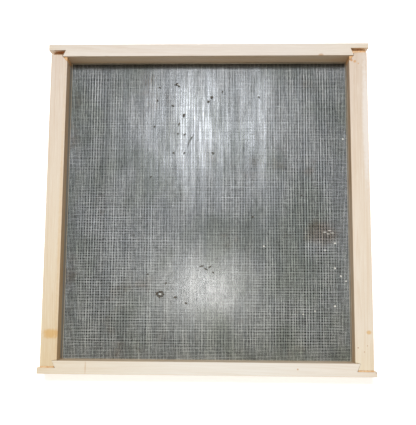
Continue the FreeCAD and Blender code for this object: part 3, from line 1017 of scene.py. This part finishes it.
def card_material():
    """Creased dark card. Light comes back from it in long bands over its upper half, and evenly below."""
    dark = Shader("dark_card")
    shade = dark.mix(dark.noise(dark.place, 0.02, 3.0), srgb(30, 33, 31), srgb(46, 48, 43))
    turned = dark.vector("CROSS_PRODUCT", dark.place, (0.0, 0.0, 1.0))
    skewed = dark.vector("ADD", dark.vector("MULTIPLY", dark.place, (1.0, 0.45, 1.0)),
                         dark.vector("MULTIPLY", turned, (-0.45, 0.2, 0.0)))
    creases = dark.noise(skewed, 0.055, 3.0, 0.55)
    drift = dark.noise(dark.vector("MULTIPLY", dark.place, (1.0, 0.3, 1.0)), 0.06, 3.0, 0.6)
    across = dark.math("ADD", dark.axis(0), dark.math("MULTIPLY", dark.math("SUBTRACT", drift, 0.5), 40.0))
    bands = dark.ramp(dark.spread(across, *CARD_BAND_SIDES, smooth=False), [
        (position, (level, level, level, 1.0)) for position, level in CARD_BANDS
    ])
    fine = dark.noise(dark.vector("MULTIPLY", dark.place, (1.0, 0.05, 1.0)), 0.24, 2.0, 0.6)
    bands = dark.math("MULTIPLY", bands, dark.spread(fine, 0.36, 0.62, 0.5, 1.4))
    upper = dark.spread(dark.axis(1), -70.0, 20.0)
    even = (CARD_LEVEL_BELOW, CARD_LEVEL_BELOW, CARD_LEVEL_BELOW, 1.0)
    dark.feed(dark.surface.inputs["Specular IOR Level"], dark.mix(upper, even, bands))
    roughness = dark.spread(dark.noise(dark.place, 0.12, 2.0), 0.2, 0.8, 0.22, 0.25)
    return dark.finish(shade, roughness, creases, 0.3, 0.5)


def make_surroundings():
    """A pale floor, and a dark card under the gauze so that its holes look dark."""
    reach = FLOOR_REACH
    plane("floor", -reach, -reach, reach, reach, FLOOR_LEVEL, floor_material())
    plane(
        "dark_card", INNER_LEFT + CARD_INSET, INNER_BOTTOM + CARD_INSET,
        INNER_RIGHT - CARD_INSET, INNER_TOP - CARD_INSET, SLAT_TOP - CARD_DROP, card_material(),
    )


def aim(item, place, target):
    item.location = Vector(place) * MM
    item.rotation_euler = (Vector(target) - Vector(place)).to_track_quat("-Z", "Y").to_euler()


def add_light(name, kind, place, target, power, **settings):
    light = bpy.data.lights.new(name, kind)
    light.energy = power
    for key, value in settings.items():
        setattr(light, key, value)
    item = bpy.data.objects.new(name, light)
    bpy.context.scene.collection.objects.link(item)
    aim(item, place, target)
    return item


KEY_DIRECTION, KEY_DISTANCE, KEY_POWER = (-0.044, 0.30, 0.95), 2500, 40.0
KEY_SIZE, KEY_COLOUR = (0.72, 0.42), (0.92, 0.97, 1.04)
LAMP_PLACES, LAMP_Y, LAMP_HEIGHT, LAMP_POWER = (-80, -30, 20), -110, 951, 3.3
LAMP_TARGET_OFFSET, LAMP_TARGET_Y, LAMP_TARGET_HEIGHT = 12, -118, 9
LAMP_CONE, LAMP_RADIUS, LAMP_COLOUR = math.radians(13), 0.004, (1.0, 0.99, 0.97)
ROOM_COLOUR, ROOM_STRENGTH = (1.0, 0.91, 0.79, 1.0), 0.48


def make_lights():
    """A broad key light high beyond the top rail, three small lamps beside the camera, and a soft room."""
    key = Vector(KEY_DIRECTION).normalized() * KEY_DISTANCE
    add_light(
        "key", "AREA", key, (0, 0, 0), KEY_POWER,
        shape="ELLIPSE", size=KEY_SIZE[0], size_y=KEY_SIZE[1], color=KEY_COLOUR,
    )
    for number, x in enumerate(LAMP_PLACES, start=1):
        add_light(
            f"lamp_{number}", "SPOT", (x, LAMP_Y, LAMP_HEIGHT),
            (x + LAMP_TARGET_OFFSET, LAMP_TARGET_Y, LAMP_TARGET_HEIGHT), LAMP_POWER,
            spot_size=LAMP_CONE, spot_blend=1.0, shadow_soft_size=LAMP_RADIUS, color=LAMP_COLOUR,
        )
    world = bpy.data.worlds.new("soft_room")
    world.use_nodes = True
    background = world.node_tree.nodes["Background"]
    background.inputs["Color"].default_value = ROOM_COLOUR
    background.inputs["Strength"].default_value = ROOM_STRENGTH
    bpy.context.scene.world = world


# The camera looks almost straight down, with the top rail at the top of the picture.
CAMERA_PLACE, CAMERA_TARGET = (30.38, -126.45, 951.09), (1.68, -11.53, 38.5)
CAMERA_LENS, CAMERA_SENSOR = 55.14, 36.0
CAMERA_UPRIGHT = (-0.00705, 1.0, 0.0)


def make_camera():
    place = Vector(CAMERA_PLACE)
    back = (place - Vector(CAMERA_TARGET)).normalized()
    right = Vector(CAMERA_UPRIGHT).cross(back).normalized()
    up = back.cross(right)
    data = bpy.data.cameras.new("camera")
    data.lens, data.sensor_width = CAMERA_LENS, CAMERA_SENSOR
    camera = bpy.data.objects.new("camera", data)
    bpy.context.scene.collection.objects.link(camera)
    turn = Matrix((right, up, back)).transposed().to_4x4()
    camera.matrix_world = Matrix.Translation(place * MM) @ turn
    bpy.context.scene.camera = camera


make_top_rail()
make_bottom_rail()
make_left_rail()
make_right_rail()
make_slats()
make_glue()
make_shoulders()
make_fasteners()
make_gauze()
make_specks()
make_surroundings()
make_lights()
make_camera()
bpy.context.scene.view_settings.view_transform = "Standard"
